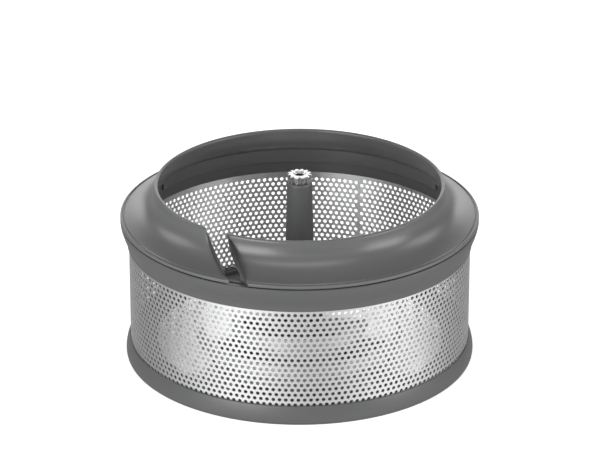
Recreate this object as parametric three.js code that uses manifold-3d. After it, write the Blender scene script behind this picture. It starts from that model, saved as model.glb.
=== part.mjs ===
// Filter drum of a centrifugal juicer with its lift-off pulp collar, in millimetres, +Z up.
// The origin is on the drum's axis, in the plane that the drum stands on. The front is at -Y.
import * as THREE from 'three';
import { mergeVertices } from 'three/addons/utils/BufferGeometryUtils.js';
import Module from 'manifold-3d';

const wasm = await Module();
wasm.setup();

// Driving dimensions: radii of the turned pieces and heights above the standing plane.
const FLANGE_R = 90;          // the collar's flange, the widest point
const WALL_R = 86;            // outside of the perforated wall
const SCREEN_T = 0.6;         // sheet thickness of the perforated wall
const BAND_R = 88.3;          // bulge of the lower band
const RIM_R = 73.1;           // outside of the collar's rolled rim
const RING_IN_R = 83.9;       // inside of the upper ring
const BAND_TOP = 9.6;         // where the bare wall starts
const RING_BOTTOM = 60.2;     // where the bare wall ends
const JOINT_Z = 73;           // top of the upper ring, under the collar
const JOINT_GAP = 0.5;        // open line between the upper ring and the collar
const RIM_Z = 91.2;           // top of the rim
const SKIRT_BOTTOM = 68.5;    // lower end of the collar's skirt, inside the upper ring
const COLUMN_TOP = 91.8;
const COUPLING_TOP = 96.2;
const COUPLING_BOTTOM = 82.2; // lower end of the coupling's spigot, inside the column
const PIN_Z = 86.8;           // height of the cross pin
const PIN_R = 0.8;
const PIN_HOLE_R = 1.1;
const GAP = 0.3;              // clearance between pieces that meet

const SCREEN_IN_R = WALL_R - SCREEN_T;
const SCREEN_FOOT_Z = 4.8;    // the screen stands this high, inside the base ring's groove
const SCREEN_HEAD_Z = 65.7;
const LIP_PROUD = 0.7;        // how far the plastic lips stand proud of the wall

const FOOT_IN_R = 77.5;       // inside of the base ring's foot
const LEDGE_R = 83.2;         // shoulder that the floor drops into
const LEDGE_Z = 3.1;
const FLOOR_TOP = 6.8;        // rim of the floor, level with the grating disc
const FLOOR_T = 2.2;
const DISC_T = 0.8;           // sheet thickness of the grating disc
const DISC_R = 72.3;
const HUB_TOP = 19.4;         // top of the stepped hub
const STEP_Z = 13.1;          // tread of the middle step
const LOWER_RISER = { footR: 52.3, topR: 49 };
const UPPER_RISER = { footR: 34.8, topR: 32.3 };

const BORE_R = 4.7;           // the column's bore
const BORE_FIT_R = BORE_R - GAP; // bushes and coupling spigot inside it
const SPINDLE_R = 3.1;        // bore of the bushes
const SPIGOT_R = 7.2;         // the column's lower end, inside the hub
const COLUMN_FOOT_R = 11.8;
const COLUMN_BOTTOM = 3.6;

const LARGE = 48;             // facets round a large ring
const MEDIUM = 24;
const SMALL = 8;

// Fasteners and keys: how many, on what circle, and the first one's angle.
const HUB_SCREWS = { count: 4, circleR: 9.9, start: Math.PI / 4 };
const BASE_SCREWS = { count: 6, circleR: 81.2, start: Math.PI / 6 };
const RIVETS = { count: 6, circleR: 68.5, start: 0 };
const KEYS = { count: 3, circleR: RING_IN_R - 0.2, start: Math.PI / 6 };
const HUB_SCREW_HOLE_R = 1.2;
const SMALL_HOLE_R = 1.3;     // base screws and rivets
const KEY_FOOT_Z = 64.5;      // the drive keys' lower end
const KEY_HEIGHT = 7;

// The collar is split by one straight cut, at an angle to the radius.
const CUT_WIDTH = 7.2;
const CUT_CENTRE = [-34.4, -72.6];
const CUT_ANGLE = THREE.MathUtils.degToRad(-66.9);
const CUT_LENGTH = 46;

const plastic = { color: 0x66676a, roughness: 0.5, metalness: 0 };
const darkPlastic = { color: 0x4b474c, roughness: 0.55, metalness: 0 };
const collarPlastic = { color: 0x74767a, roughness: 0.4, metalness: 0 };
const steel = { color: 0xd2d4d6, roughness: 0.25, metalness: 1 };
const bushPolymer = { color: 0xe6e3da, roughness: 0.5, metalness: 0 };
const sealRubber = { color: 0x2a2a2c, roughness: 0.8, metalness: 0 };

const juicerDrum = new THREE.Group();

function addPiece(name, geometry, look) {
  const mesh = new THREE.Mesh(geometry, new THREE.MeshStandardMaterial(look));
  mesh.name = name;
  juicerDrum.add(mesh);
  return mesh;
}

// Points along a cubic curve, ends included.
function curve(start, pullStart, pullEnd, end, steps) {
  const path = new THREE.CubicBezierCurve(
    new THREE.Vector2(...start), new THREE.Vector2(...pullStart),
    new THREE.Vector2(...pullEnd), new THREE.Vector2(...end));
  return path.getPoints(steps).map((p) => [p.x, p.y]);
}

// The [radius, height] outline turned about Z. The outline is closed here.
function turned(outline, facets) {
  const points = outline.map(([r, z]) => new THREE.Vector2(r, z));
  if (THREE.ShapeUtils.area(points) < 0) points.reverse();
  if (outline[0][0] > 0 || outline.at(-1)[0] > 0) points.push(points[0].clone());
  return new THREE.LatheGeometry(points, facets).rotateX(Math.PI / 2);
}

// A polyline moved sideways by a distance, to the right of its direction.
function offset(points, distance) {
  return points.map((point, i) => {
    const before = points[Math.max(i - 1, 0)];
    const after = points[Math.min(i + 1, points.length - 1)];
    const one = new THREE.Vector2(point[0] - before[0], point[1] - before[1]);
    const two = new THREE.Vector2(after[0] - point[0], after[1] - point[1]);
    if (i === 0) one.copy(two);
    if (i === points.length - 1) two.copy(one);
    one.normalize();
    two.normalize();
    const along = one.clone().add(two).normalize();
    const reach = distance / along.dot(one);
    return [point[0] + along.y * reach, point[1] - along.x * reach];
  });
}

function toSolid(geometry) {
  const bare = geometry.index ? geometry.clone() : geometry;
  bare.deleteAttribute('normal');
  bare.deleteAttribute('uv');
  const merged = mergeVertices(bare, 1e-4);
  return new wasm.Manifold(new wasm.Mesh({
    numProp: 3,
    vertProperties: new Float32Array(merged.attributes.position.array),
    triVerts: new Uint32Array(merged.index.array),
  }));
}

function toGeometry(solid) {
  const mesh = solid.getMesh();
  const geometry = new THREE.BufferGeometry();
  geometry.setAttribute('position', new THREE.BufferAttribute(mesh.vertProperties, 3));
  geometry.setIndex(new THREE.BufferAttribute(mesh.triVerts, 1));
  geometry.computeVertexNormals();
  return geometry;
}

function box(sizeX, sizeY, lowZ, highZ) {
  return new THREE.BoxGeometry(sizeX, sizeY, highZ - lowZ).translate(0, 0, (lowZ + highZ) / 2);
}

function rod(radius, lowZ, highZ, facets = SMALL) {
  return turned([[0, lowZ], [radius, lowZ], [radius, highZ], [0, highZ]], facets);
}

// Copies of a geometry at equal angles round the axis, each on the circle.
function around({ count, circleR, start }, geometry) {
  return Array.from({ length: count }, (_, i) => geometry.clone()
    .translate(circleR, 0, 0).rotateZ(start + (i * 2 * Math.PI) / count));
}

function join(solid, geometries) {
  return geometries.reduce((whole, geometry) => whole.add(toSolid(geometry)), solid);
}

function cut(solid, geometries) {
  return geometries.reduce((whole, geometry) => whole.subtract(toSolid(geometry)), solid);
}

// A rod across the column's axis, at the cross pin's height.
function crossRod(radius, halfLength) {
  return rod(radius, -halfLength, halfLength).rotateY(Math.PI / 2).translate(0, 0, PIN_Z);
}

// Base ring: the lower band, with the groove that the screen stands in.
function makeBaseRing() {
  const lip = [WALL_R + LIP_PROUD, BAND_TOP];
  const innerTop = FLOOR_TOP + 1.4;
  const outline = [
    [FOOT_IN_R, 0],
    ...curve([BAND_R - 1, 0], [BAND_R + 0.5, 0.3], [BAND_R + 0.3, 4.6], lip, 5),
    [WALL_R + GAP, BAND_TOP],
    [WALL_R + GAP, SCREEN_FOOT_Z - GAP],
    [SCREEN_IN_R - GAP, SCREEN_FOOT_Z - GAP],
    [SCREEN_IN_R - GAP, innerTop],
    [LEDGE_R, innerTop],
    [LEDGE_R, LEDGE_Z],
    [FOOT_IN_R, LEDGE_Z],
  ];
  const counterbores = around(BASE_SCREWS, rod(2.5, -1, 2.2));
  const holes = around(BASE_SCREWS, rod(SMALL_HOLE_R, -1, LEDGE_Z + 1));
  return toGeometry(cut(toSolid(turned(outline, LARGE)), [...counterbores, ...holes]));
}

// The top face of the grating disc, from its outer edge up the two steps to the centre hole.
function discTopLine(centreR) {
  return [
    [DISC_R, FLOOR_TOP],
    [LOWER_RISER.footR, FLOOR_TOP],
    [LOWER_RISER.topR, STEP_Z],
    [UPPER_RISER.footR, STEP_Z],
    [UPPER_RISER.topR, HUB_TOP],
    [centreR, HUB_TOP],
  ];
}

// Grating disc: one stepped steel pressing.
function makeGratingDisc() {
  const top = discTopLine(SPIGOT_R + 2 * GAP);
  const outline = [...top, ...offset(top, -DISC_T).reverse()];
  const screwHoles = around(HUB_SCREWS, rod(HUB_SCREW_HOLE_R, HUB_TOP - 3, HUB_TOP + 3));
  const rivetHoles = around(RIVETS, rod(SMALL_HOLE_R, 0, FLOOR_TOP + 3));
  return toGeometry(cut(toSolid(turned(outline, LARGE)), [...screwHoles, ...rivetHoles]));
}

// Drum floor: the moulding under the disc, with a screw boss inside its hub.
function makeDrumFloor() {
  const holeR = SPIGOT_R + GAP;
  const top = discTopLine(holeR);
  const upper = offset(top, -(DISC_T + GAP));
  const lower = offset(top, -(DISC_T + GAP + FLOOR_T));
  const seat = upper[0][1];
  const under = lower[0][1];
  upper[0] = [DISC_R + GAP, seat];
  lower[0] = [LEDGE_R - GAP, under];
  const outline = [
    [LEDGE_R - GAP, FLOOR_TOP],
    [DISC_R + GAP, FLOOR_TOP],
    ...upper,
    ...lower.reverse(),
  ];
  const sink = 0.2;           // how far the boss runs into the shell
  const bossTop = HUB_TOP - DISC_T - GAP - FLOOR_T + sink;
  const boss = rod(COLUMN_FOOT_R + 1, COLUMN_BOTTOM, bossTop, MEDIUM);
  const holes = [
    rod(holeR, 0, HUB_TOP + 2, MEDIUM),
    ...around(HUB_SCREWS, rod(HUB_SCREW_HOLE_R, 0, HUB_TOP + 2)),
    ...around(RIVETS, rod(SMALL_HOLE_R, 0, FLOOR_TOP + 2)),
    ...around(BASE_SCREWS, rod(SMALL_HOLE_R, 0, FLOOR_TOP - 0.6)),
  ];
  return toGeometry(cut(join(toSolid(turned(outline, LARGE)), [boss]), holes));
}

// Filter screen: the rolled steel sheet, without its small holes.
function makeFilterScreen() {
  return turned([
    [SCREEN_IN_R, SCREEN_FOOT_Z],
    [WALL_R, SCREEN_FOOT_Z],
    [WALL_R, SCREEN_HEAD_Z],
    [SCREEN_IN_R, SCREEN_HEAD_Z],
  ], LARGE);
}

// Upper ring: flares from the wall to the flange, holds the seal and carries the drive keys.
function makeUpperRing() {
  const sealGroove = [FLANGE_R - 4.6, FLANGE_R - 2.6];
  const sealDepth = 0.8;
  const lip = [WALL_R + LIP_PROUD, RING_BOTTOM];
  const innerBottom = RING_BOTTOM + 1.7;
  const outline = [
    [RING_IN_R, innerBottom],
    [SCREEN_IN_R - GAP, innerBottom],
    [SCREEN_IN_R - GAP, SCREEN_HEAD_Z + GAP],
    [WALL_R + GAP, SCREEN_HEAD_Z + GAP],
    [WALL_R + GAP, RING_BOTTOM],
    ...curve(lip, [WALL_R + 1, 65], [FLANGE_R - 0.7, 67], [FLANGE_R, JOINT_Z - 0.6], 4),
    [FLANGE_R - 0.5, JOINT_Z],
    [sealGroove[1], JOINT_Z],
    [sealGroove[1], JOINT_Z - sealDepth],
    [sealGroove[0], JOINT_Z - sealDepth],
    [sealGroove[0], JOINT_Z],
    [RING_IN_R, JOINT_Z],
  ];
  const keys = around(KEYS, box(1.6, 4, KEY_FOOT_Z, KEY_FOOT_Z + KEY_HEIGHT));
  return toGeometry(join(toSolid(turned(outline, LARGE)), keys));
}

function makeCollarSeal() {
  const inside = FLANGE_R - 4.3;
  const outside = FLANGE_R - 2.9;
  return turned([
    [inside, JOINT_Z - 0.5],
    [outside, JOINT_Z - 0.5],
    [outside, JOINT_Z + 0.2],
    [inside, JOINT_Z + 0.2],
  ], LARGE);
}

// Pulp collar: rolled rim, concave neck, flat flange and a skirt that drops into the upper ring.
function makePulpCollar() {
  const underside = JOINT_Z + JOINT_GAP;
  const skirtOutR = RING_IN_R - 0.4;
  const skirtInR = skirtOutR - 1.3;
  const outline = [
    [FLANGE_R - 0.4, underside],
    [FLANGE_R, underside + 0.5],
    [FLANGE_R, underside + 1.6],
    ...curve([FLANGE_R - 0.5, 75.5], [81.5, 76.6], [74.2, 79.5], [RIM_R - 0.2, 88.4], 7),
    [RIM_R, 90.2],
    [RIM_R - 0.6, RIM_Z - 0.2],
    [RIM_R - 1.6, RIM_Z],
    [RIM_R - 2.3, RIM_Z - 0.6],
    [RIM_R - 2.4, RIM_Z - 1.6],
    ...curve([RIM_R - 1.8, 88.2], [72.9, 80.9], [77.2, 77.6], [skirtInR - 0.2, 75.4], 4),
    [skirtInR, SKIRT_BOTTOM],
    [skirtOutR, SKIRT_BOTTOM],
    [skirtOutR, underside],
  ];
  const sawCut = box(CUT_LENGTH, CUT_WIDTH, SKIRT_BOTTOM - 1, RIM_Z + 1).rotateZ(CUT_ANGLE)
    .translate(...CUT_CENTRE, 0);
  const notch = box(4, 4.8, SKIRT_BOTTOM - 1, KEY_FOOT_Z + KEY_HEIGHT + 0.6);
  const notches = around({ ...KEYS, circleR: skirtOutR }, notch);
  return toGeometry(cut(toSolid(turned(outline, LARGE)), [sawCut, ...notches]));
}

// Drive column: a tapering tube over the machine's spindle, screwed down on the hub.
function makeDriveColumn() {
  const seat = HUB_TOP + GAP;
  const outline = [
    [BORE_R, COLUMN_BOTTOM],
    [SPIGOT_R, COLUMN_BOTTOM],
    [SPIGOT_R, seat],
    [COLUMN_FOOT_R, seat],
    [COLUMN_FOOT_R, seat + 2.6],
    ...curve([COLUMN_FOOT_R - 0.9, seat + 3.6], [10.2, 28], [8.9, 40], [7.1, 60], 5),
    [6.3, COLUMN_TOP - 1],
    [5.8, COLUMN_TOP],
    [BORE_R, COLUMN_TOP],
  ];
  const screwHoles = around(HUB_SCREWS, rod(HUB_SCREW_HOLE_R, seat - 1, seat + 2.9));
  const pinHole = crossRod(PIN_HOLE_R, SPIGOT_R);
  return toGeometry(cut(toSolid(turned(outline, MEDIUM)), [...screwHoles, pinHole]));
}

// Drive coupling: a toothed steel head on a spigot, pinned into the column's top.
function makeDriveCoupling() {
  const teeth = 12;
  const rootR = 4.8;
  const tipR = 6.2;
  const crown = new THREE.Shape();
  const stations = 4;          // two root corners and two tip corners for each tooth
  for (let i = 0; i < teeth * stations; i += 1) {
    const onTip = i % stations >= 2;
    const radius = onTip ? tipR : rootR;
    const angle = ((i + 0.5) / (teeth * stations)) * 2 * Math.PI;
    const point = [radius * Math.cos(angle), radius * Math.sin(angle)];
    if (i === 0) crown.moveTo(...point);
    else crown.lineTo(...point);
  }
  crown.closePath();
  const crownBottom = COLUMN_TOP + GAP;
  const head = new THREE.ExtrudeGeometry(crown, {
    depth: COUPLING_TOP - crownBottom, bevelEnabled: false, steps: 1,
  }).translate(0, 0, crownBottom);
  const spigot = rod(BORE_FIT_R, COUPLING_BOTTOM, crownBottom + 1, MEDIUM);
  const throughHole = rod(2.2, COUPLING_BOTTOM - 1, COUPLING_TOP + 1, 12);
  return toGeometry(cut(join(toSolid(head), [spigot]), [throughHole, crossRod(PIN_HOLE_R, SPIGOT_R)]));
}

function makeBush(lowZ) {
  const highZ = lowZ + 12;
  return turned([
    [SPINDLE_R, lowZ], [BORE_FIT_R, lowZ], [BORE_FIT_R, highZ], [SPINDLE_R, highZ],
  ], MEDIUM);
}

// A screw or rivet standing on Z: radius and height pairs from its lowest point to its highest.
function makeFastener(outline) {
  return turned([[0, outline[0][1]], ...outline, [0, outline.at(-1)[1]]], SMALL);
}

function addAround(name, layout, geometry) {
  around(layout, geometry).forEach((copy, i) => addPiece(`${name}_${i + 1}`, copy, steel));
}

addPiece('base_ring', makeBaseRing(), plastic);
addPiece('drum_floor', makeDrumFloor(), darkPlastic);
addPiece('grating_disc', makeGratingDisc(), steel);
addPiece('filter_screen', makeFilterScreen(), steel);
addPiece('upper_ring', makeUpperRing(), plastic);
addPiece('collar_seal', makeCollarSeal(), sealRubber);
addPiece('drive_column', makeDriveColumn(), darkPlastic);
addPiece('lower_bush', makeBush(COLUMN_BOTTOM + 2.4), bushPolymer);
addPiece('upper_bush', makeBush(COUPLING_BOTTOM - 16), bushPolymer);
addPiece('drive_coupling', makeDriveCoupling(), steel);
addPiece('coupling_pin', crossRod(PIN_R, 6.1), steel);
addAround('hub_screw', HUB_SCREWS, makeFastener([
  [2, COLUMN_BOTTOM - 1.8], [2, COLUMN_BOTTOM - GAP],
  [0.9, COLUMN_BOTTOM - GAP], [0.9, HUB_TOP + 2.9],
]));
addAround('base_screw', BASE_SCREWS, makeFastener([
  [2.2, 0.5], [2.2, 1.9],
  [1, 1.9], [1, FLOOR_TOP - 0.9],
]));
addAround('disc_rivet', RIVETS, makeFastener([
  [1.9, LEDGE_Z - 0.8], [1.9, LEDGE_Z + 0.1],
  [1, LEDGE_Z + 0.1], [1, FLOOR_TOP + GAP],
  [2.3, FLOOR_TOP + GAP], [1.6, FLOOR_TOP + 1.2],
]));
addPiece('pulp_collar', makePulpCollar(), collarPlastic);

export default juicerDrum;
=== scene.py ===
"""The looks of a juicer's filter drum and pulp collar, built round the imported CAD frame.

Outlines are lists of (radius, height) in millimetres, turned about Z. An outline point may carry
a third number, the radius that its corner is rounded to.
"""

import math

import bmesh
import bpy
import numpy as np
from mathutils import Matrix, Vector


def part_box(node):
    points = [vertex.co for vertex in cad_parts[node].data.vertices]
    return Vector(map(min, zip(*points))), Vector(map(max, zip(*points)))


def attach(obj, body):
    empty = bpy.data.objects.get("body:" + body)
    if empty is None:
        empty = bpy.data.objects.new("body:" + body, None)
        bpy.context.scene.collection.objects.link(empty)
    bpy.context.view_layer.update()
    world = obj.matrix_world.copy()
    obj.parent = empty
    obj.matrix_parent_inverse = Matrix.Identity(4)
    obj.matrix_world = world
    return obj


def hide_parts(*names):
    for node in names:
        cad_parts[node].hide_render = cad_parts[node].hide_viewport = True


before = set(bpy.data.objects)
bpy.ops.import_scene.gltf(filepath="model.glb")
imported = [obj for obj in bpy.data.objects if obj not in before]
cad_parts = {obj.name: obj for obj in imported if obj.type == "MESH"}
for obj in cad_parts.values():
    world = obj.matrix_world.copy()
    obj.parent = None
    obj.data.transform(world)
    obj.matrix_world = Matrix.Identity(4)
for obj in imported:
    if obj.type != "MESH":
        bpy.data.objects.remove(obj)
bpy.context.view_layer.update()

MM = 0.001                      # the frame and Blender work in metres
TAU = 2 * math.pi
FINE = 240                      # facets round a large ring
MEDIUM = 72                     # round the column and the hub
SMALL = 24                      # round a screw or a rivet
SHARP_DEGREES = 35              # edges sharper than this stay crisp
FINE_SHARP_DEGREES = 30         # the same, on small steel parts
ARC_PULL = 0.55                 # pulls this far toward the corner make a curve look like an arc
SIDE_SHARE = 0.49               # the most of a side that one rounded corner takes
SHARPEST_MITRE = 0.2            # keeps an offset line's sharp corners from running away
ON_AXIS = 1e-6                  # a point nearer the axis than this, in millimetres, is on it
SMALLEST_EDGE = 0.001           # shorter edges than this, in millimetres, are closed up


def low(node, axis):
    """A CAD node's lowest coordinate, in millimetres."""
    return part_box(node)[0]["xyz".index(axis)] / MM


def high(node, axis):
    """A CAD node's highest coordinate, in millimetres."""
    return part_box(node)[1]["xyz".index(axis)] / MM


# Driving dimensions, read from the frame.
FLANGE_R = high("pulp_collar", "x")
RIM_Z = high("pulp_collar", "z")
SKIRT_Z = low("pulp_collar", "z")
WALL_R = high("filter_screen", "x")
SCREEN_LOW = low("filter_screen", "z")
SCREEN_HIGH = high("filter_screen", "z")
BAND_R = high("base_ring", "x")
RING_LOW = low("upper_ring", "z")
JOINT_Z = high("upper_ring", "z")
DISC_R = high("grating_disc", "x")
HUB_TOP = high("grating_disc", "z")
FLOOR_R = high("drum_floor", "x")
COLUMN_LOW = low("drive_column", "z")
COLUMN_TOP = high("drive_column", "z")
COUPLING_LOW = low("drive_coupling", "z")
COUPLING_TOP = high("drive_coupling", "z")
COUPLING_R = high("drive_coupling", "x")
BUSH_R = high("upper_bush", "x")

# Shared with the CAD outlines.
GAP = 0.3
SCREEN_T = 0.6
WALL_PLAY = 0.1
LIP_R = WALL_R + 0.7
GROOVE_IN_R = WALL_R - SCREEN_T - GAP
GROOVE_OUT_R = WALL_R + WALL_PLAY
BAND_TOP = 9.6
FLOOR_TOP = 6.8
STEP_Z = 13.1
LOWER_RISER_FOOT_R = 52.3
LOWER_RISER_TOP_R = 49.0
UPPER_RISER_FOOT_R = 34.8
UPPER_RISER_TOP_R = 32.3
DISC_T = 0.8
FLOOR_T = 2.2
RING_IN_R = FLANGE_R - 6.1
RIM_R = 73.1
SPIGOT_R = 7.2
BORE_R = BUSH_R + GAP
SPINDLE_R = 3.1
COLUMN_FOOT_R = 11.8
HUB_SCREWS = 4
HUB_SCREW_START = math.pi / 4
HUB_SCREW_CIRCLE_R = 9.9
HUB_SCREW_HOLE_R = 1.2
BASE_SCREWS = 6
BASE_SCREW_START = math.pi / 6
BASE_SCREW_CIRCLE_R = 81.2
BASE_SCREW_HOLE_R = 1.3
RIVETS = 6
RIVET_START = 0.0
RIVET_CIRCLE_R = 68.5
RIVET_HOLE_R = 1.3
KEYS = 3
KEY_START = math.pi / 6
KEY_Z = 64.5
KEY_HEIGHT = 7.0
KEY_DEPTH = 1.6
KEY_WIDTH = 4.0


# ---------------------------------------------------------------- outlines

def curve(start, pull_start, pull_end, end, steps):
    """Points along a cubic curve, ends included."""
    points = []
    for i in range(steps + 1):
        t = i / steps
        weights = ((1 - t) ** 3, 3 * t * (1 - t) ** 2, 3 * t * t * (1 - t), t ** 3)
        corners = (start, pull_start, pull_end, end)
        points.append(tuple(sum(w * p[k] for w, p in zip(weights, corners)) for k in (0, 1)))
    return points


def softened(outline, steps=4):
    """The closed outline with each corner that carries a radius turned into a small arc."""
    result = []
    for i, point in enumerate(outline):
        if len(point) == 2:
            result.append(point)
            continue
        here = Vector(point[:2])
        before = Vector(outline[i - 1][:2]) - here
        after = Vector(outline[(i + 1) % len(outline)][:2]) - here
        reach = min(point[2], before.length * SIDE_SHARE, after.length * SIDE_SHARE)
        start = here + before.normalized() * reach
        end = here + after.normalized() * reach
        result += curve(start, start.lerp(here, ARC_PULL), end.lerp(here, ARC_PULL), end, steps)
    return result


def offset(points, distance):
    """A line moved sideways by a distance, to the left of its direction."""
    shifted = []
    for i, point in enumerate(points):
        here = Vector(point[:2])
        one = (here - Vector(points[i - 1][:2])) if i else None
        two = (Vector(points[i + 1][:2]) - here) if i + 1 < len(points) else None
        one = (one or two).normalized()
        two = (two or one).normalized()
        along = (one + two).normalized()
        reach = distance / max(along.dot(one), SHARPEST_MITRE)
        shifted.append((here.x - along.y * reach, here.y + along.x * reach))
    return shifted


# ---------------------------------------------------------------- meshes

def make_object(name, vertices, faces, sharp_degrees=SHARP_DEGREES, outward=False):
    """A mesh object from millimetres, smooth except at sharp edges.

    Its faces are turned outward here, unless they already are.
    """
    mesh = bpy.data.meshes.new(name)
    mesh.from_pydata([tuple(v) for v in np.asarray(vertices, float) * MM], [], faces)
    obj = bpy.data.objects.new(name, mesh)
    bpy.context.scene.collection.objects.link(obj)
    if not outward:
        turn_outward(obj)
    shade(obj, sharp_degrees)
    return obj


def turn_outward(obj):
    """Turns every face to look out of the solid."""
    work = bmesh.new()
    work.from_mesh(obj.data)
    bmesh.ops.recalc_face_normals(work, faces=work.faces)
    work.to_mesh(obj.data)
    work.free()


def shade(obj, sharp_degrees=SHARP_DEGREES):
    """Smooths the mesh, except at its sharp edges."""
    obj.data.shade_smooth()
    obj.data.set_sharp_from_angle(angle=math.radians(sharp_degrees))


def revolve(name, outline, facets=FINE, sharp_degrees=SHARP_DEGREES):
    """The closed outline turned about Z. Points on the axis become one vertex."""
    angles = np.arange(facets) / facets * TAU
    vertices = []
    rings = []
    for r, z in outline:
        if r < ON_AXIS:
            rings.append([len(vertices)] * facets)
            vertices.append((0, 0, z))
        else:
            rings.append(list(range(len(vertices), len(vertices) + facets)))
            vertices.extend((r * math.cos(a), r * math.sin(a), z) for a in angles)
    faces = []
    for i, ring in enumerate(rings):
        after = rings[(i + 1) % len(rings)]
        if ring[0] == ring[1] and after[0] == after[1]:
            continue
        for k in range(facets):
            n = (k + 1) % facets
            corners = (ring[k], ring[n], after[n], after[k])
            faces.append(tuple(dict.fromkeys(corners)))
    return make_object(name, vertices, faces, sharp_degrees)


def carve(obj, tools, operation="DIFFERENCE", sharp_degrees=SHARP_DEGREES, solver="MANIFOLD"):
    """Cuts the tools from obj, or joins them to it, and removes them."""
    for tool in tools:
        modifier = obj.modifiers.new("carve", "BOOLEAN")
        modifier.operation = operation
        modifier.solver = solver
        modifier.object = tool
    bpy.context.view_layer.update()
    evaluated = obj.evaluated_get(bpy.context.evaluated_depsgraph_get())
    mesh = bpy.data.meshes.new_from_object(evaluated)
    obj.modifiers.clear()
    obj.data = mesh
    for tool in tools:
        bpy.data.objects.remove(tool)
    clean(obj)
    shade(obj, sharp_degrees)
    return obj


def clean(obj):
    """Splits the many-sided faces that cutting leaves, and removes those with no area."""
    work = bmesh.new()
    work.from_mesh(obj.data)
    bmesh.ops.remove_doubles(work, verts=work.verts, dist=SMALLEST_EDGE * MM)
    many_sided = [face for face in work.faces if len(face.verts) > 4]
    bmesh.ops.triangulate(work, faces=many_sided, ngon_method="BEAUTY")
    bmesh.ops.dissolve_degenerate(work, dist=SMALLEST_EDGE * MM, edges=work.edges)
    work.to_mesh(obj.data)
    work.free()


def moved(obj, radius, angle):
    """Moves the mesh out along X and turns it about Z, in millimetres and radians."""
    shift = Matrix.Translation((radius * MM, 0, 0))
    obj.data.transform(Matrix.Rotation(angle, 4, "Z") @ shift)
    return obj


def block(size, centre):
    """A box-shaped cutting tool."""
    half = Vector(size) / 2
    corners = [Vector((x, y, z)) for z in (-1, 1) for y in (-1, 1) for x in (-1, 1)]
    vertices = [Vector(centre) + Vector(c[k] * half[k] for k in range(3)) for c in corners]
    faces = [(0, 2, 3, 1), (4, 5, 7, 6), (0, 1, 5, 4), (2, 6, 7, 3), (0, 4, 6, 2), (1, 3, 7, 5)]
    return make_object("tool", vertices, faces)


def peg(radius, bottom, top, facets=SMALL):
    """A round cutting tool."""
    return revolve("tool", [(0, bottom), (radius, bottom), (radius, top), (0, top)], facets)


def around(count, start):
    """Equal angles round the axis."""
    return [start + i * TAU / count for i in range(count)]


# ---------------------------------------------------------------- materials

class NodeGraph:
    """Short ways to add nodes to a node tree."""

    def __init__(self, tree):
        self.nodes = tree.nodes
        self.links = tree.links

    def add(self, kind, inputs=None, **settings):
        """A new node. An input is either linked, if it is a socket, or set to a value."""
        node = self.nodes.new(kind)
        for key, value in settings.items():
            setattr(node, key, value)
        for key, value in (inputs or {}).items():
            if isinstance(value, bpy.types.NodeSocket):
                self.links.new(value, node.inputs[key])
            else:
                node.inputs[key].default_value = value
        return node

    def math(self, operation, a, b=0.0):
        """The result of one operation on one or two values."""
        return self.add("ShaderNodeMath", {0: a, 1: b}, operation=operation).outputs[0]

    def spread(self, value, lowest, highest, start=0.3, end=0.7):
        """The stretch of a value from start to end, drawn out to a range."""
        return self.add("ShaderNodeMapRange", {
            "Value": value, "From Min": start, "From Max": end, "To Min": lowest, "To Max": highest,
        }).outputs[0]


class Look(NodeGraph):
    """A node material with one Principled shader."""

    def __init__(self, name, **sockets):
        self.material = bpy.data.materials.new(name)
        self.material.use_nodes = True
        super().__init__(self.material.node_tree)
        self.shader = self.nodes["Principled BSDF"]
        for socket, value in sockets.items():
            self.shader.inputs[socket.replace("_", " ")].default_value = value

    def position(self):
        """The place on the object, in metres."""
        return self.add("ShaderNodeTexCoord").outputs["Object"]

    def polar(self):
        """Angle in radians, radius and height in metres, about the object's own Z axis."""
        parts = self.add("ShaderNodeSeparateXYZ", {0: self.position()}).outputs
        angle = self.math("ARCTAN2", parts[1], parts[0])
        squares = self.math("ADD", self.math("MULTIPLY", parts[0], parts[0]),
                            self.math("MULTIPLY", parts[1], parts[1]))
        return angle, self.math("SQRT", squares), parts[2]

    def noise(self, vector, scale, detail=3.0, roughness=0.5):
        """Cloudy noise, from 0 to 1."""
        return self.add("ShaderNodeTexNoise", {
            "Vector": vector, "Scale": scale, "Detail": detail, "Roughness": roughness,
        }).outputs["Fac"]

    def tint(self, value, dark, light):
        """A colour between two, picked by a 0 to 1 value."""
        mix = self.add("ShaderNodeMix", {"Factor": value}, data_type="RGBA")
        mix.inputs[6].default_value = (*dark, 1)
        mix.inputs[7].default_value = (*light, 1)
        return mix.outputs[2]

    def bump(self, height, distance):
        """A surface raised by a 0 to 1 height, over a distance in metres."""
        inputs = {"Height": height, "Distance": distance, "Strength": 1.0}
        return self.add("ShaderNodeBump", inputs).outputs["Normal"]

    def set(self, socket, value):
        """Links a node's output to the shader."""
        self.links.new(value, self.shader.inputs[socket])

    def brush_round(self):
        """Draws highlights out across lines that run round the Z axis."""
        tangent = self.add("ShaderNodeTangent", direction_type="RADIAL", axis="Z").outputs[0]
        self.set("Tangent", tangent)


def grey(value, warmth=0.0):
    """A grey, slightly warm or, below 0, slightly cold."""
    return (value * (1 + warmth), value, value * (1 - warmth))


def moulded_plastic(name, tone, roughness, warmth=-0.01, grain=0.000012):
    """Satin moulded plastic: fine spark-eroded grain, faint flow clouding, uneven polish."""
    look = Look(name, IOR=1.48)
    place = look.position()
    clouds = look.noise(place, 28, 4)
    look.set("Base Color", look.tint(clouds, grey(tone * 0.94, warmth), grey(tone * 1.06, warmth)))
    patches = look.noise(place, 24, 1, 0.4)
    look.set("Roughness", look.spread(patches, roughness - 0.03, roughness + 0.03, 0.0, 1.0))
    fine = look.noise(place, 2600, 2)
    look.set("Normal", look.bump(fine, grain))
    return look.material


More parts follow.
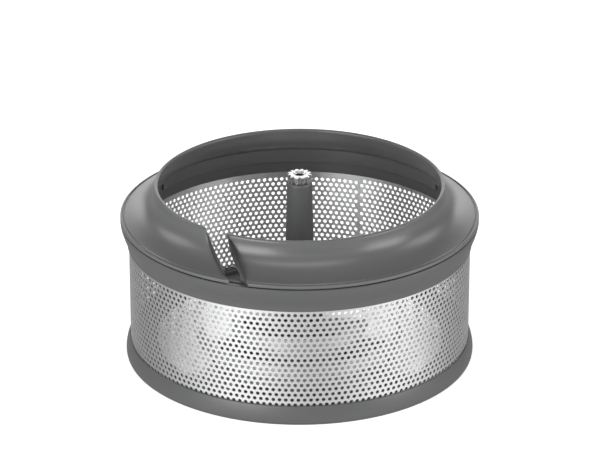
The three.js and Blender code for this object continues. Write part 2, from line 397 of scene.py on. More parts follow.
def rolled_steel(name):
    """Bright stainless sheet, with fine rolling lines running round the drum."""
    look = Look(name, Metallic=1.0, Anisotropic=0.6, Anisotropic_Rotation=0.25)
    angle, _, height = look.polar()
    lines_at = look.add("ShaderNodeCombineXYZ", {
        0: look.math("MULTIPLY", angle, 2.2), 1: look.math("MULTIPLY", height, 900.0),
    }).outputs[0]
    lines = look.noise(lines_at, 3.0, 5, 0.65)
    place = look.position()
    clouds = look.noise(place, 22, 3)
    look.set("Base Color", look.tint(lines, grey(0.60, -0.004), grey(0.69, -0.002)))
    haze = look.math("MULTIPLY", look.math("ADD", lines, clouds), 0.5)
    look.set("Roughness", look.spread(haze, 0.27, 0.36))
    look.set("Normal", look.bump(lines, 0.000006))
    look.brush_round()
    return look.material


def spun_steel(name):
    """Pressed stainless disc: polished level faces, satin risers, fine turning lines and scuffs."""
    look = Look(name, Metallic=1.0, Anisotropic=0.4, Anisotropic_Rotation=0.25)
    angle, radius, height = look.polar()
    lines_at = look.add("ShaderNodeCombineXYZ", {
        0: look.math("MULTIPLY", angle, 1.6),
        1: look.math("MULTIPLY", look.math("ADD", radius, height), 1100.0),
    }).outputs[0]
    lines = look.noise(lines_at, 3.0, 5, 0.6)
    scuffs = look.noise(look.position(), 60, 6, 0.7)
    look.set("Base Color", look.tint(lines, grey(0.58, -0.004), grey(0.70, -0.002)))
    haze = look.math("MULTIPLY", look.math("ADD", lines, scuffs), 0.5)
    normal = look.add("ShaderNodeTexCoord").outputs["Normal"]
    upward = look.add("ShaderNodeSeparateXYZ", {0: normal}).outputs[2]
    satin = look.spread(upward, 0.42, 0.0, 0.55, 0.95)
    look.set("Roughness", look.math("ADD", look.spread(haze, 0.06, 0.13), satin))
    look.set("Normal", look.bump(lines, 0.000002))
    look.brush_round()
    return look.material


def machined_steel(name):
    """Turned stainless: brighter, with a slightly uneven polish."""
    look = Look(name, Metallic=1.0)
    place = look.position()
    clouds = look.noise(place, 180, 4)
    look.set("Base Color", look.tint(clouds, grey(0.60), grey(0.72)))
    look.set("Roughness", look.spread(look.noise(place, 700, 3), 0.22, 0.36))
    look.set("Normal", look.bump(look.noise(place, 3000, 2), 0.000008))
    return look.material


def bearing_polymer(name):
    """Off-white bearing polymer, slightly see-through and slightly uneven in colour."""
    look = Look(name, IOR=1.48, Subsurface_Weight=0.05, Subsurface_Radius=(0.002, 0.002, 0.0015))
    place = look.position()
    look.set("Base Color", look.tint(look.noise(place, 90, 3), (0.66, 0.64, 0.57), (0.74, 0.72, 0.66)))
    look.set("Roughness", look.spread(look.noise(place, 240, 3), 0.38, 0.5))
    look.set("Normal", look.bump(look.noise(place, 2600, 2), 0.00001))
    return look.material


def seal_rubber(name):
    """Matt black rubber with a coarse grain."""
    look = Look(name, IOR=1.45)
    place = look.position()
    look.set("Base Color", look.tint(look.noise(place, 60, 3), grey(0.016), grey(0.026)))
    look.set("Roughness", look.spread(look.noise(place, 300, 3), 0.6, 0.78))
    look.set("Normal", look.bump(look.noise(place, 1800, 3), 0.00003))
    return look.material


RING_PLASTIC = moulded_plastic("ring_plastic_grey", 0.075, 0.42)
COLLAR_PLASTIC = moulded_plastic("collar_plastic_grey", 0.097, 0.30)
HUB_PLASTIC = moulded_plastic("hub_plastic_dark", 0.085, 0.45, grain=0.000016)
SCREEN_STEEL = rolled_steel("screen_steel_rolled")
DISC_STEEL = spun_steel("disc_steel_spun")
COUPLING_STEEL = machined_steel("coupling_steel_turned")
BUSH_POLYMER = bearing_polymer("bush_polymer_white")
SEAL_RUBBER = seal_rubber("seal_rubber_black")


def finish_piece(obj, material, node, body="drum"):
    """Gives a piece its material and its body, and hides the CAD node that it stands for."""
    obj.data.materials.clear()
    obj.data.materials.append(material)
    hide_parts(node)
    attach(obj, body)
    return obj


# ---------------------------------------------------------------- plastic rings

def make_base_ring():
    """Lower band: bulged outside, with the groove for the screen and six counterbored holes."""
    foot_in = 77.5
    ledge_r = 83.2
    ledge_z = 3.1
    shoulder_z = FLOOR_TOP + 1.4
    groove_z = SCREEN_LOW - GAP
    head_hole_r = 2.5
    head_hole_top = 2.2
    bulge = curve((BAND_R - 1.0, 0.0), (BAND_R + 0.45, 0.3), (BAND_R + 0.35, 4.6), (LIP_R, BAND_TOP), 14)
    outline = [
        (foot_in, 0, 0.5),
        (bulge[0][0], 0, 0.4), *bulge[1:-1], (LIP_R, BAND_TOP, 0.3),
        (GROOVE_OUT_R, BAND_TOP, 0.1),
        (GROOVE_OUT_R, groove_z), (GROOVE_IN_R, groove_z),
        (GROOVE_IN_R, shoulder_z, 0.3), (ledge_r, shoulder_z, 0.3),
        (ledge_r, ledge_z), (foot_in, ledge_z, 0.3),
    ]
    ring = revolve("lower_band", softened(outline))
    tools = []
    for angle in around(BASE_SCREWS, BASE_SCREW_START):
        tools.append(moved(peg(head_hole_r, -1, head_hole_top), BASE_SCREW_CIRCLE_R, angle))
        tools.append(moved(peg(BASE_SCREW_HOLE_R, 2.0, ledge_z + 1), BASE_SCREW_CIRCLE_R, angle))
    carve(ring, tools)
    return finish_piece(ring, RING_PLASTIC, "base_ring")


def make_upper_ring():
    """Upper band: flares from the wall to the flange, with the seal's groove and three keys."""
    shoulder_z = RING_LOW + 1.7
    groove_z = SCREEN_HIGH + GAP
    seal_in = FLANGE_R - 4.6
    seal_out = FLANGE_R - 2.6
    seal_z = JOINT_Z - 0.8
    flare = curve((LIP_R, RING_LOW), (WALL_R + 1, 65), (FLANGE_R - 0.7, 67), (FLANGE_R, JOINT_Z - 0.6), 14)
    outline = [
        (RING_IN_R, shoulder_z, 0.4), (GROOVE_IN_R, shoulder_z),
        (GROOVE_IN_R, groove_z), (GROOVE_OUT_R, groove_z),
        (GROOVE_OUT_R, RING_LOW, 0.1), (LIP_R, RING_LOW, 0.25), *flare[1:],
        (FLANGE_R - 0.35, JOINT_Z, 0.2),
        (seal_out, JOINT_Z, 0.15), (seal_out, seal_z), (seal_in, seal_z), (seal_in, JOINT_Z, 0.15),
        (RING_IN_R, JOINT_Z, 0.5),
    ]
    ring = revolve("upper_band", softened(outline))
    keys = []
    for angle in around(KEYS, KEY_START):
        key = block((KEY_DEPTH, KEY_WIDTH, KEY_HEIGHT), (0, 0, KEY_Z + KEY_HEIGHT / 2))
        keys.append(moved(key, RING_IN_R - 0.2, angle))
    carve(ring, keys, "UNION", solver="EXACT")
    return finish_piece(ring, RING_PLASTIC, "upper_ring")


def make_seal():
    """Rubber ring that stands a little proud of its groove."""
    inside = FLANGE_R - 4.3
    outside = FLANGE_R - 2.9
    bottom = JOINT_Z - 0.5
    top = JOINT_Z + 0.2
    outline = [(inside, bottom, 0.2), (outside, bottom, 0.2), (outside, top, 0.3), (inside, top, 0.3)]
    seal = revolve("rubber_seal", softened(outline))
    return finish_piece(seal, SEAL_RUBBER, "collar_seal")


# ---------------------------------------------------------------- pulp collar

# The cut is straight, seen from above: its width, a point on its middle line and its direction.
CUT_WIDTH = 7.2
CUT_CENTRE = Vector((-34.4, -72.6))
CUT_ANGLE = math.radians(-66.9)
CUT_EDGE = 0.28                 # the rounding along the cut


def collar_outline():
    """The collar's section: lip, flange, concave neck, rolled rim, and back down to the skirt."""
    underside = JOINT_Z + 0.5
    flange = FLANGE_R
    neck = curve((flange - 2.1, 75.62), (81.5, 76.6), (74.2, 79.5), (RIM_R - 0.2, 88.4), 26)
    skirt_out = RING_IN_R - 0.4
    skirt_in = skirt_out - 1.3
    inner = curve((RIM_R - 1.8, 88.2), (72.9, 80.9), (77.2, 77.6), (skirt_in - 0.2, 75.4), 20)
    rim = [(RIM_R, 90.0, 0.8), (RIM_R - 0.5, RIM_Z - 0.15, 0.6), (RIM_R - 1.4, RIM_Z, 0.6),
           (RIM_R - 2.2, RIM_Z - 0.4, 0.6), (RIM_R - 2.4, RIM_Z - 1.6, 0.6)]
    groove = [(flange - 1.0, 75.4, 0.15), (flange - 1.25, 75.05, 0.1), (flange - 1.6, 75.12, 0.1)]
    return softened([
        (flange - 0.5, underside, 0.3), (flange, underside + 0.4, 0.3), (flange, 75.3, 0.5),
        (flange - 0.5, 75.5, 0.3), *groove, *neck, *rim, *inner,
        (skirt_in, SKIRT_Z, 0.4), (skirt_out, SKIRT_Z, 0.4), (skirt_out, underside, 0.3),
    ], 3)


def cut_span(radius, margin):
    """The angles from one side of the cut, round the collar, to its other side."""
    normal = CUT_ANGLE + math.pi / 2
    centre = CUT_CENTRE.x * math.cos(normal) + CUT_CENTRE.y * math.sin(normal)
    spans = []
    for side in (1, -1):
        distance = centre + side * (CUT_WIDTH / 2 + margin)
        turn = math.acos(max(-1.0, min(1.0, distance / radius)))
        both = (normal + turn, normal - turn)
        near = math.atan2(CUT_CENTRE.y, CUT_CENTRE.x)
        spans.append(min(both, key=lambda a: abs(math.remainder(a - near, TAU))))
    first, second = spans
    start = first if math.remainder(first - second, TAU) > 0 else second
    end = second if start == first else first
    return start, start + (end - start) % TAU


def collar_columns(outline):
    """Sections from one face of the cut round to the other: outline, margin, share of the way."""
    area = sum(a[0] * b[1] - b[0] * a[1] for a, b in zip(outline, outline[1:] + outline[:1]))
    inward = 1 if area > 0 else -1
    closed = outline[-1:] + outline + outline[:1]
    bevel = CUT_EDGE * 0.3
    inset = offset(closed, inward * CUT_EDGE)[1:-1]
    half_inset = offset(closed, inward * bevel)[1:-1]
    ends = [(inset, 0.0), (half_inset, bevel), (outline, CUT_EDGE)]
    columns = [(shape, margin, 0.0) for shape, margin in ends]
    columns += [(outline, CUT_EDGE, i / FINE) for i in range(1, FINE)]
    columns += [(shape, margin, 1.0) for shape, margin in reversed(ends)]
    return columns


def make_pulp_collar():
    """The collar's section swept round from one face of the cut to the other, ends rounded."""
    outline = collar_outline()
    columns = collar_columns(outline)
    vertices = []
    for shape, margin, share in columns:
        for r, z in shape:
            start, end = cut_span(r, margin)
            angle = start + (end - start) * share
            vertices.append((r * math.cos(angle), r * math.sin(angle), z))
    count = len(outline)
    faces = []
    for c in range(len(columns) - 1):
        for i in range(count):
            n = (i + 1) % count
            faces.append((c * count + i, c * count + n, (c + 1) * count + n, (c + 1) * count + i))
    faces.append(tuple(range(count)))
    last = (len(columns) - 1) * count
    faces.append(tuple(range(last, last + count)))
    collar = make_object("pulp_collar_shell", vertices, faces)
    bottom = SKIRT_Z - 1
    top = KEY_Z + KEY_HEIGHT + 0.6
    notch_depth = 4
    notch_width = KEY_WIDTH + 0.8
    notches = []
    for angle in around(KEYS, KEY_START):
        notch = block((notch_depth, notch_width, top - bottom), (0, 0, (top + bottom) / 2))
        notches.append(moved(notch, RING_IN_R - 0.4, angle))
    carve(collar, notches, solver="EXACT")
    return finish_piece(collar, COLLAR_PLASTIC, "pulp_collar", "collar")


# ---------------------------------------------------------------- perforated wall

HOLE_ROWS = 19
HOLES_ROUND = 176
HOLE_R = 0.96
HOLE_SIDES = 10
CELL_CORNERS = [(1, 1), (0, 2), (-1, 1), (-1, -1), (0, -2), (1, -1)]
ROWS_DOWN = 1.0                 # the pattern sits this far below the middle of the bare wall
SEAM_ANGLE = math.radians(68.6)
SEAM_PITCHES = 1.06             # distance between the last and first holes, in hole pitches
WELD_RAISE = 0.09               # the sheet stands back by this, so that the weld stays in its box
WELD_PROFILE = [(0.0, 0.0), (0.3, 0.05), (0.5, WELD_RAISE), (0.7, 0.05), (1.0, 0.0)]

WAY_ROUND = TAU * WALL_R
COLUMNS = HOLES_ROUND - 1
PITCH = WAY_ROUND / (HOLES_ROUND - 1.5 + SEAM_PITCHES)
ROW_STEP = PITCH * math.sqrt(3) / 2
WELD_MARGIN = (SEAM_PITCHES - 1) * PITCH * 0.15
WELD_START = COLUMNS * PITCH + WELD_MARGIN
WELD_END = WAY_ROUND - PITCH / 2 - WELD_MARGIN


def cell_triangles():
    """Triangles between a round hole's points and the six corners of the cell round it."""
    sides = len(CELL_CORNERS)
    triangles = []
    h = c = 0
    while h < HOLE_SIDES or c < sides:
        if c == sides or (h < HOLE_SIDES and (h + 1) / HOLE_SIDES <= (c + 1) / sides):
            triangles.append((("hole", h), ("corner", c % sides), ("hole", (h + 1) % HOLE_SIDES)))
            h += 1
        else:
            triangles.append((("hole", h % HOLE_SIDES), ("corner", c), ("corner", (c + 1) % sides)))
            c += 1
    return triangles


def sew(left, right):
    """Quads between two upright lines of vertices with the same number of points."""
    return [(left[i], right[i], right[i + 1], left[i + 1]) for i in range(len(left) - 1)]


def zip_lines(left, right, heights):
    """Triangles between two upright lines of vertices with points at different heights."""
    faces = []
    i = j = 0
    while i < len(left) - 1 or j < len(right) - 1:
        go_left = j == len(right) - 1 or (
            i < len(left) - 1 and heights[left[i + 1]] <= heights[right[j + 1]])
        if go_left:
            faces.append((left[i], right[j], left[i + 1]))
            i += 1
        else:
            faces.append((left[i], right[j], right[j + 1]))
            j += 1
    return faces


class FlatSheet:
    """The sheet laid out flat: u runs round the drum and z up. Keys let cells share points."""

    def __init__(self):
        self.numbers = {}
        self.places = []
        self.faces = []

    def vertex(self, key, u, z):
        """The number of the point with this key, which is added if it is new."""
        if key not in self.numbers:
            self.numbers[key] = len(self.places)
            self.places.append((u, z))
        return self.numbers[key]

    def heights(self):
        """The points' heights. Rows climb half a step in one turn, so they miss at the weld."""
        drift = ROW_STEP / 2
        return [z if z in (SCREEN_LOW, SCREEN_HIGH) else z + drift * (u / WAY_ROUND - 0.5)
                for u, z in self.places]


def add_holes(sheet):
    """Staggered round holes, each in a six-sided cell.

    The cell's corners are keyed in half pitches across and third rows up.
    """
    first_row = (BAND_TOP + RING_LOW) / 2 - ROW_STEP * (HOLE_ROWS - 1) / 2 - ROWS_DOWN
    triangles = cell_triangles()
    turns = [(k + 0.5) / HOLE_SIDES * TAU for k in range(HOLE_SIDES)]
    for row in range(HOLE_ROWS):
        z = first_row + row * ROW_STEP
        for column in range(COLUMNS):
            across = 2 * column + row % 2
            u = across * PITCH / 2
            ring = [sheet.vertex(("hole", row, column, k),
                                 u + HOLE_R * math.cos(turn), z + HOLE_R * math.sin(turn))
                    for k, turn in enumerate(turns)]
            corners = [sheet.vertex((across + dx, 3 * row + dz), u + dx * PITCH / 2, z + dz * ROW_STEP / 3)
                       for dx, dz in CELL_CORNERS]
            named = {"hole": ring, "corner": corners}
            sheet.faces += [tuple(named[kind][i] for kind, i in triangle) for triangle in triangles]


def add_edge_strips(sheet):
    """Plain strips under the first row and over the last one. Returns the sheet's two edges."""
    top = HOLE_ROWS - 1
    points = range(2 * COLUMNS + 1)
    low_keys = [(x - 1, -2 if x % 2 else -1) for x in points]
    high_keys = [(x - 1 + top % 2, 3 * top + (2 if x % 2 else 1)) for x in points]
    low_zigzag = [sheet.numbers[key] for key in low_keys]
    high_zigzag = [sheet.numbers[key] for key in high_keys]
    low_edge = [sheet.vertex(("low", i), sheet.places[v][0], SCREEN_LOW)
                for i, v in enumerate(low_zigzag)]
    high_edge = [sheet.vertex(("high", i), sheet.places[v][0], SCREEN_HIGH)
                 for i, v in enumerate(high_zigzag)]
    for under, over in ((low_edge, low_zigzag), (high_zigzag, high_edge)):
        sheet.faces += [(under[i], under[i + 1], over[i + 1], over[i]) for i in points[:-1]]
    return low_edge, high_edge


def add_weld(sheet, low_edge, high_edge):
    """Upright lines from the pattern's end to its start. Returns how far each point is raised."""
    start_side = [low_edge[0]]
    end_side = [low_edge[-1]]
    for row in range(HOLE_ROWS):
        for dz in (-1, 1):
            start_side.append(sheet.numbers[(row % 2 - 1, 3 * row + dz)])
            end_side.append(sheet.numbers[(row % 2 - 1 + 2 * COLUMNS, 3 * row + dz)])
    start_side.append(high_edge[0])
    end_side.append(high_edge[-1])
    raised = {}
    line = end_side
    for share, rise in WELD_PROFILE:
        u = WELD_START + (WELD_END - WELD_START) * share
        after = [sheet.vertex(("weld", share, i), u, sheet.places[v][1])
                 for i, v in enumerate(end_side)]
        raised.update((v, rise) for v in after)
        sheet.faces += sew(line, after)
        line = after
    sheet.faces += zip_lines(line, start_side, sheet.heights())
    return raised


def rolled_up(sheet, raised):
    """The vertices and faces of the sheet bent round the drum and given its thickness."""
    middle = (WELD_START + WELD_END) / 2
    count = len(sheet.places)
    heights = sheet.heights()
    vertices = []
    for radius, outward in ((WALL_R, 1), (WALL_R - SCREEN_T, -1)):
        for number, (u, _) in enumerate(sheet.places):
            angle = SEAM_ANGLE + (u - middle) / WALL_R
            r = radius - outward * (WELD_RAISE - raised.get(number, 0.0))
            vertices.append((r * math.cos(angle), r * math.sin(angle), heights[number]))
    inner = [tuple(number + count for number in reversed(face)) for face in sheet.faces]
    edges = [(a, b) for face in sheet.faces for a, b in zip(face, face[1:] + face[:1])]
    shared = set(edges)
    walls = [(b, a, a + count, b + count) for a, b in edges if (b, a) not in shared]
    return vertices, sheet.faces + inner + walls


def make_filter_screen():
    """The rolled sheet with real staggered holes, plain edges and one upright welded seam."""
    sheet = FlatSheet()
    add_holes(sheet)
    low_edge, high_edge = add_edge_strips(sheet)
    raised = add_weld(sheet, low_edge, high_edge)
    vertices, faces = rolled_up(sheet, raised)
    screen = make_object("perforated_wall", vertices, faces, sharp_degrees=40, outward=True)
    return finish_piece(screen, SCREEN_STEEL, "filter_screen")


# ---------------------------------------------------------------- floor and grating disc

TOOTH_SIZE = 1.3
TOOTH_SPACING = 3.4
TOOTH_SLANT = math.radians(70)
TOOTH_RINGS = 3
HUB_TEETH_R = 15.4
HUB_TEETH_STEP = 3.0
FLOOR_TEETH_R = 57.0
FLOOR_TEETH_STEP = 3.2


def disc_top_line(centre_r):
    """The disc's top face, from its outer edge up the two steps to the centre hole."""
    return [
        (DISC_R, FLOOR_TOP), (LOWER_RISER_FOOT_R, FLOOR_TOP), (LOWER_RISER_TOP_R, STEP_Z),
        (UPPER_RISER_FOOT_R, STEP_Z), (UPPER_RISER_TOP_R, HUB_TOP), (centre_r, HUB_TOP),
    ]


def pressed(line, radius):
    """The line with every corner between its ends rounded."""
    return [line[0], *[(r, z, radius) for r, z in line[1:-1]], line[-1]]


def grating_tooth(size):
    """A punched tooth: a small raised tongue, steep at its cutting edge."""
    length = size
    width = size * 0.62
    rise = size * 0.35
    sink = 0.25
    vertices = [
        (-length / 2, -width * 0.35, -sink), (-length / 2, width * 0.35, -sink),
        (length / 2, width / 2, -sink), (length / 2, -width / 2, -sink),
        (length * 0.42, width * 0.34, rise), (length * 0.42, -width * 0.34, rise),
        (length * 0.1, 0, rise * 0.86),
    ]
    faces = [(0, 1, 2, 3), (3, 2, 4, 5), (0, 3, 5, 6), (1, 6, 4, 2), (0, 6, 1), (4, 6, 5)]
    return vertices, faces


def grating_teeth():
    """Rings of slanting teeth on the hub's top and on the outer floor."""
    rings = [(HUB_TEETH_R + HUB_TEETH_STEP * i, HUB_TOP) for i in range(TOOTH_RINGS)]
    rings += [(FLOOR_TEETH_R + FLOOR_TEETH_STEP * i, FLOOR_TOP) for i in range(TOOTH_RINGS)]
    shape, tooth_faces = grating_tooth(TOOTH_SIZE)
    slant = Matrix.Rotation(TOOTH_SLANT, 3, "Z")
    vertices = []
    faces = []
    for row, (radius, height) in enumerate(rings):
        count = int(TAU * radius / TOOTH_SPACING)
        for angle in around(count, (row % 2) * TAU / count / 2):
            start = len(vertices)
            turn = Matrix.Rotation(angle, 3, "Z")
            vertices += [turn @ (slant @ Vector(v) + Vector((radius, 0, height))) for v in shape]
            faces += [tuple(i + start for i in f) for f in tooth_faces]
    return make_object("grating_teeth", vertices, faces)


def make_grating_disc():
    """One stepped pressing, with rings of punched teeth on its highest and lowest faces."""
    corner_r = 0.9
    rivet_hole_r = 1.25
    top = disc_top_line(SPIGOT_R + 2 * GAP)
    under = offset(top, DISC_T)
    outline = pressed(top, corner_r) + pressed(under, corner_r)[::-1]
    disc = revolve("stepped_grating_disc", softened(outline, 6))
    tools = [moved(peg(HUB_SCREW_HOLE_R, HUB_TOP - 3, HUB_TOP + 3), HUB_SCREW_CIRCLE_R, a)
             for a in around(HUB_SCREWS, HUB_SCREW_START)]
    tools += [moved(peg(rivet_hole_r, 0, FLOOR_TOP + 3), RIVET_CIRCLE_R, a)
              for a in around(RIVETS, RIVET_START)]
    carve(disc, tools)
    carve(disc, [grating_teeth()], "UNION")
    return finish_piece(disc, DISC_STEEL, "grating_disc")


def make_drum_floor():
    """The moulding under the disc: a stepped shell with a screw boss under its hub."""
    hole_r = SPIGOT_R + GAP
    line = disc_top_line(hole_r)
    upper = pressed(offset(line, DISC_T + GAP), 0.7)
    lower = pressed(offset(line, DISC_T + GAP + FLOOR_T), 1.2)
    upper[0] = (DISC_R + GAP, upper[0][1])
    lower[0] = (FLOOR_R, lower[0][1], 0.4)
    outline = [(FLOOR_R, FLOOR_TOP, 0.4), (DISC_R + GAP, FLOOR_TOP, 0.25), *upper, *lower[::-1]]
    floor = revolve("floor_moulding", softened(outline))
    plate_under = HUB_TOP - DISC_T - GAP - FLOOR_T
    sink = 0.2
    boss = peg(COLUMN_FOOT_R + 1, COLUMN_LOW, plate_under + sink, MEDIUM)
    carve(floor, [boss], "UNION")
    holes = [peg(hole_r, 0, HUB_TOP + 2, MEDIUM)]
    holes += [moved(peg(HUB_SCREW_HOLE_R, 0, HUB_TOP + 2), HUB_SCREW_CIRCLE_R, a)
              for a in around(HUB_SCREWS, HUB_SCREW_START)]
    holes += [moved(peg(RIVET_HOLE_R, 0, FLOOR_TOP + 2), RIVET_CIRCLE_R, a)
              for a in around(RIVETS, RIVET_START)]
    holes += [moved(peg(BASE_SCREW_HOLE_R, 0, FLOOR_TOP - 0.6), BASE_SCREW_CIRCLE_R, a)
              for a in around(BASE_SCREWS, BASE_SCREW_START)]
    carve(floor, holes)
    return finish_piece(floor, HUB_PLASTIC, "drum_floor")


# ---------------------------------------------------------------- column and drive

PIN_Z = COLUMN_TOP - 5
PIN_R = 0.8
PIN_HOLE_R = 1.0


def laid_across(obj):
    """Lays an upright piece along X, at the pin's height."""
    lifted = Matrix.Translation((0, 0, PIN_Z * MM))
    obj.data.transform(lifted @ Matrix.Rotation(math.pi / 2, 4, "Y"))
    return obj


def make_drive_column():
    """The tapering tube, flared at its foot, with the cross hole for the pin."""
    seat = HUB_TOP + GAP
    flare = curve((COLUMN_FOOT_R - 0.9, seat + 3.6), (10.2, 28), (8.9, 40), (7.1, 60), 24)
    outline = [
        (BORE_R, COLUMN_LOW, 0.3), (SPIGOT_R, COLUMN_LOW, 0.5), (SPIGOT_R, seat),
        (COLUMN_FOOT_R, seat, 0.2), (COLUMN_FOOT_R, seat + 2.6, 0.5), *flare,
        (6.3, COLUMN_TOP - 1, 0.4), (5.8, COLUMN_TOP, 0.4), (BORE_R, COLUMN_TOP, 0.2),
    ]
    column = revolve("tapered_column", softened(outline), MEDIUM)
    tools = [moved(peg(HUB_SCREW_HOLE_R, seat - 1, seat + 2.9), HUB_SCREW_CIRCLE_R, a)
             for a in around(HUB_SCREWS, HUB_SCREW_START)]
    tools.append(laid_across(peg(PIN_HOLE_R, -10, 10)))
    carve(column, tools)
    return finish_piece(column, HUB_PLASTIC, "drive_column")


def make_drive_coupling():
    """Toothed steel head with chamfered teeth on a bored spigot."""
    teeth = 12
    per_tooth = 8
    tooth_from, tooth_to = 0.3, 0.8         # shares of a tooth's pitch
    root_r = COUPLING_R - 1.4
    root_chamfer = 0.4                      # share of the chamfer that the roots get
    chamfer = 0.35
    top_chamfer = chamfer * 1.4
    crown_low = COLUMN_TOP + GAP
    spigot_r = BORE_R - GAP
    dish_z = COUPLING_TOP - 0.6
    bore_r = 2.2
    count = teeth * per_tooth

    def tooth_radius(i, shrink):
        phase = (i % per_tooth) / per_tooth
        rise = 1.0 if tooth_from <= phase <= tooth_to else 0.0
        drop = shrink * (root_chamfer + (1 - root_chamfer) * rise)
        return root_r + (COUPLING_R - root_r) * rise - drop

    def circle(radius, z):
        return [(radius, z)] * count

    def toothed(shrink, z):
        return [(tooth_radius(i, shrink), z) for i in range(count)]

    loops = [
        circle(bore_r, COUPLING_LOW), circle(spigot_r - 0.3, COUPLING_LOW),
        circle(spigot_r, COUPLING_LOW + 0.3), circle(spigot_r, crown_low),
        toothed(chamfer, crown_low), toothed(0.0, crown_low + chamfer),
        toothed(0.0, COUPLING_TOP - top_chamfer), toothed(top_chamfer, COUPLING_TOP),
        circle(3.4, COUPLING_TOP), circle(3.0, dish_z),
        circle(bore_r + 0.2, dish_z), circle(bore_r, COUPLING_TOP - 0.9),
    ]
    vertices = []
    for loop in loops:
        for i, (r, z) in enumerate(loop):
            angle = i / count * TAU
            vertices.append((r * math.cos(angle), r * math.sin(angle), z))
    faces = []
    for c in range(len(loops)):
        n = (c + 1) % len(loops)
        for i in range(count):
            j = (i + 1) % count
            faces.append((c * count + i, c * count + j, n * count + j, n * count + i))
    coupling = make_object("toothed_coupling", vertices, faces, FINE_SHARP_DEGREES)
    carve(coupling, [laid_across(peg(PIN_HOLE_R, -10, 10))], sharp_degrees=FINE_SHARP_DEGREES)
    return finish_piece(coupling, COUPLING_STEEL, "drive_coupling")


def make_pin():
    """The pin that crosses the column and the coupling."""
    half = high("coupling_pin", "x")
    outline = [(0, -half), (PIN_R, -half, 0.2), (PIN_R, half, 0.2), (0, half)]
    pin = laid_across(revolve("cross_pin", softened(outline), SMALL))
    return finish_piece(pin, COUPLING_STEEL, "coupling_pin")


def make_bush(node):
    """A plain sleeve in the column's bore, with softened ends."""
    bottom = low(node, "z")
    top = high(node, "z")
    outline = [(SPINDLE_R, bottom, 0.35), (BUSH_R, bottom, 0.3), (BUSH_R, top, 0.3), (SPINDLE_R, top, 0.35)]
    bush = revolve(node + "_sleeve", softened(outline), MEDIUM)
    return finish_piece(bush, BUSH_POLYMER, node)


# ---------------------------------------------------------------- fasteners

def make_screw(node, head_r, head_low, head_high, shank_r, tip_z, circle_r, angle):
    """A pan-head screw standing head down, with a cross recess and a threaded shank."""
    thread_pitch = 0.9
    thread_deep = 0.18
    recess_span = head_r * 1.15
    recess_width = 0.5
    recess_height = 1.0
    turns = int((tip_z - head_high - 1.2) / thread_pitch)
    shank = [(shank_r, head_high, 0.1)]
    for i in range(turns):
        z = head_high + 0.6 + i * thread_pitch
        shank += [(shank_r - thread_deep, z), (shank_r, z + thread_pitch * 0.5)]
    outline = [
        (0, head_low), (head_r * 0.7, head_low, 0.2), (head_r, head_low + 0.35, 0.3),
        (head_r, head_high, 0.15), *shank,
        (shank_r - thread_deep, tip_z - 0.5), (0, tip_z),
    ]
    screw = revolve(node + "_steel", softened(outline), SMALL, FINE_SHARP_DEGREES)
    bars = [block((recess_span, recess_width, recess_height), (0, 0, head_low)),
            block((recess_width, recess_span, recess_height), (0, 0, head_low))]
    carve(screw, bars, sharp_degrees=FINE_SHARP_DEGREES)
    moved(screw, circle_r, angle)
    return finish_piece(screw, COUPLING_STEEL, node)


def make_rivet(node, angle):
    """A domed rivet through the disc and the floor."""
    bottom = low(node, "z")
    top = high(node, "z")
    seat = FLOOR_TOP + GAP
    foot_z = bottom + 0.9
    foot_r = 1.85
    shank_r = 1.0
    head_r = 2.25
    dome = curve((head_r, seat + 0.05), (2.1, top - 0.1), (1.2, top), (0, top), 6)
    outline = [
        (0, bottom), (1.6, bottom, 0.2), (foot_r, bottom + 0.5, 0.2), (foot_r, foot_z),
        (shank_r, foot_z), (shank_r, seat), (head_r, seat), *dome,
    ]
    rivet = revolve(node + "_steel", softened(outline), SMALL, sharp_degrees=40)
    moved(rivet, RIVET_CIRCLE_R, angle)
    return finish_piece(rivet, COUPLING_STEEL, node)


# ---------------------------------------------------------------- the drum

make_base_ring()
make_upper_ring()
make_seal()
make_pulp_collar()
make_filter_screen()
make_grating_disc()
make_drum_floor()
make_drive_column()
make_drive_coupling()
make_pin()
make_bush("lower_bush")
make_bush("upper_bush")
for number, at in enumerate(around(HUB_SCREWS, HUB_SCREW_START), 1):
    make_screw(f"hub_screw_{number}", head_r=1.95, head_low=COLUMN_LOW - 1.8, head_high=COLUMN_LOW - GAP,
               shank_r=0.9, tip_z=HUB_TOP + 2.8, circle_r=HUB_SCREW_CIRCLE_R, angle=at)
for number, at in enumerate(around(BASE_SCREWS, BASE_SCREW_START), 1):
    make_screw(f"base_screw_{number}", head_r=2.15, head_low=0.5, head_high=1.9,
               shank_r=1.0, tip_z=FLOOR_TOP - 0.9, circle_r=BASE_SCREW_CIRCLE_R, angle=at)
for number, at in enumerate(around(RIVETS, RIVET_START), 1):
    make_rivet(f"disc_rivet_{number}", at)


# ---------------------------------------------------------------- stage, light and camera

def make_stage():
    """A plain white floor, bright enough to stay white under soft light."""
    size = 6000
    level = -0.05                   # just under the foot, so that the two faces stay apart
    corners = [(x * size, y * size, level) for x, y in ((-1, -1), (1, -1), (1, 1), (-1, 1))]
    floor = make_object("studio_floor", corners, [(0, 1, 2, 3)])
    look = Look("studio_white", Roughness=0.9, Specular_IOR_Level=0.0,
                Emission_Color=(1, 1, 1, 1), Emission_Strength=0.5)
    look.set("Base Color", look.tint(look.noise(look.position(), 3, 2), grey(0.90), grey(0.92)))
    floor.data.materials.append(look.material)
    floor.visible_glossy = False


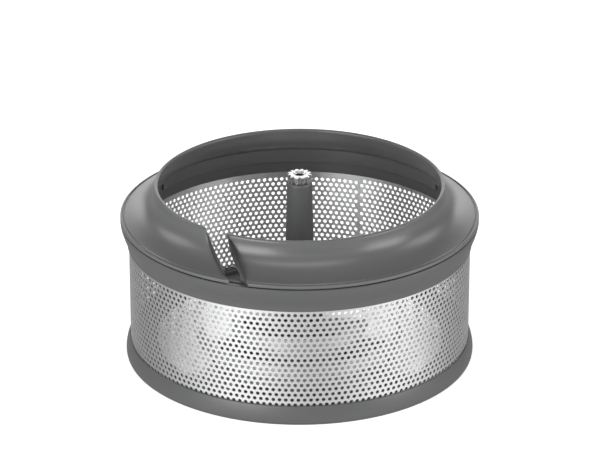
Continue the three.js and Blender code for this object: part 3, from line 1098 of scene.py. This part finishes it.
def add_panel(name, azimuth, elevation, distance, size, radiance):
    """A soft panel light aimed at the drum. Azimuth 0 is the front, 90 the right."""
    turn, lift = math.radians(azimuth), math.radians(elevation)
    aim = Vector((0, 0, 0.05))
    away = Vector((math.sin(turn) * math.cos(lift), -math.cos(turn) * math.cos(lift), math.sin(lift)))
    light = bpy.data.lights.new(name, "AREA")
    light.shape = "RECTANGLE"
    light.size, light.size_y = size
    light.energy = radiance * math.pi * size[0] * size[1]
    panel = bpy.data.objects.new(name, light)
    panel.location = aim + away * distance
    panel.rotation_euler = away.to_track_quat("Z", "Y").to_euler()
    panel.visible_camera = False
    bpy.context.scene.collection.objects.link(panel)


# What the drum reflects from below the horizon: azimuth, sharpness and strength of soft lobes.
LOWER_BASE = 0.42
LOWER_LOBES = [(-42, 3.0, 1.3), (60, 3.0, 1.25)]
UPPER_RADIANCE = 0.3
HORIZON_START = -0.1
HORIZON_END = 0.05


def make_world():
    """An even grey above the horizon, and soft bright lobes below it for the metal to reflect."""
    world = bpy.data.worlds.new("studio")
    bpy.context.scene.world = world
    world.use_nodes = True
    world.cycles.sampling_method = "NONE"
    graph = NodeGraph(world.node_tree)
    direction = graph.add("ShaderNodeTexCoord").outputs["Generated"]
    lower = LOWER_BASE
    for azimuth, sharpness, strength in LOWER_LOBES:
        turn = math.radians(azimuth)
        toward = (math.sin(turn), -math.cos(turn), 0)
        facing = graph.add("ShaderNodeVectorMath", {0: direction, 1: toward}, operation="DOT_PRODUCT")
        lobe = graph.math("POWER", graph.math("MAXIMUM", facing.outputs["Value"], 0.0), sharpness)
        lower = graph.math("ADD", graph.math("MULTIPLY", lobe, strength), lower)
    height = graph.add("ShaderNodeSeparateXYZ", {0: direction}).outputs[2]
    above = graph.spread(height, 0.0, 1.0, HORIZON_START, HORIZON_END)
    mix = graph.add("ShaderNodeMix", {"Factor": above, "A": lower, "B": UPPER_RADIANCE})
    background = graph.nodes["Background"]
    background.inputs["Color"].default_value = (1, 1, 1, 1)
    graph.links.new(mix.outputs[0], background.inputs["Strength"])


def make_camera():
    """Looks down on the drum from the front, from far off and through a long lens."""
    pitch = math.radians(23.65)
    distance = 1.6595
    aim = Vector((0.0002, 0, 0.068))
    camera = bpy.data.objects.new("camera", bpy.data.cameras.new("camera"))
    camera.data.lens = 198.0
    camera.data.sensor_width = 36.0
    camera.data.clip_end = 50
    camera.location = aim + Vector((0, -math.cos(pitch), math.sin(pitch))) * distance
    camera.rotation_euler = (math.pi / 2 - pitch, 0, 0)
    bpy.context.scene.collection.objects.link(camera)
    bpy.context.scene.camera = camera


make_stage()
make_world()
# Azimuth and elevation are in degrees, distance and size in metres.
add_panel("front_left_soft", -38, 14, 1.6, (1.1, 0.6), 8.0)
add_panel("front_soft", 2, 25, 1.8, (2.6, 0.5), 0.8)
add_panel("front_high_soft", 0, 62, 1.6, (1.4, 0.4), 3.4)
add_panel("front_right_soft", 66, 14, 1.6, (0.9, 0.6), 5.8)
add_panel("back_soft", 180, 16, 1.6, (2.0, 0.6), 2.2)
add_panel("left_high_soft", -108, 30, 1.6, (0.8, 0.5), 3.2)
add_panel("right_high_soft", 108, 30, 1.6, (0.8, 0.5), 3.2)
make_camera()
bpy.context.scene.view_settings.view_transform = "Standard"
